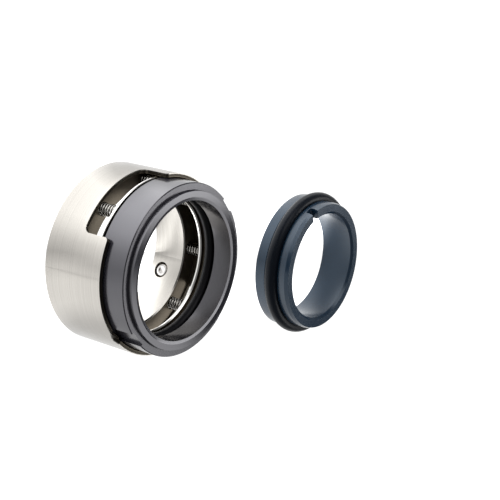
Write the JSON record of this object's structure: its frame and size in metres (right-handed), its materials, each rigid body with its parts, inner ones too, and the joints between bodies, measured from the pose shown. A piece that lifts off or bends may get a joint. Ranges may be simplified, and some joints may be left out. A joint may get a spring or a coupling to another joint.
{
  "type": "component mechanical seal",
  "caption": "Multi-spring component mechanical seal: a sprung rotary head with a windowed drive collar, lugs and O-ring, beside its notched stationary seat.",
  "frame": {"origin": "centre of the drive collar's bore at the rear face of the rotary head", "axes": "+Z along the head's axis from the rear face towards its seal face, +X from the head's axis towards the stationary seat's axis"},
  "size_m": [0.1904, 0.066, 0.0364],
  "materials": {
    "drive_collar": "turned and satin stainless steel, with circular marks on the faces",
    "set_screw": "plain stainless steel",
    "spring": "bright drawn wire",
    "thrust_ring": "bright turned stainless steel",
    "shaft_o_ring": "smooth black rubber",
    "seal_ring": "ground grey carbide with a lapped face",
    "seat_ring": "ground blue-grey silicon carbide with a lapped face",
    "seat_o_ring": "smooth black rubber"
  },
  "bodies": {
    "head": {"drive_collar": "drive_collar", "spring_1": "spring", "spring_2": "spring", "spring_3": "spring", "spring_4": "spring", "spring_5": "spring", "spring_6": "spring", "spring_7": "spring", "spring_8": "spring", "seat_ring": "seat_ring", "seat_o_ring": "seat_o_ring"},
    "face": {"seal_ring": "seal_ring", "shaft_o_ring": "shaft_o_ring", "thrust_ring": "thrust_ring"},
    "screw_1": {"set_screw_1": "set_screw"},
    "screw_2": {"set_screw_2": "set_screw"}
  },
  "joints": [
    {"name": "face_slide", "type": "slide", "parent": "head", "child": "face", "axis": [0, 0, -1], "range_m": [0, 0.004], "stiffness_N_per_m": 28000, "springref_m": -0.001, "deforming": ["spring_1", "spring_2", "spring_3", "spring_4", "spring_5", "spring_6", "spring_7", "spring_8"]},
    {"name": "screw_1_slide", "type": "slide", "parent": "head", "child": "screw_1", "axis": [-0.9744, 0.225, 0], "range_m": [-0.002, 0.0007]},
    {"name": "screw_2_slide", "type": "slide", "parent": "head", "child": "screw_2", "axis": [-0.225, -0.9744, 0], "range_m": [-0.002, 0.0007]}
  ]
}
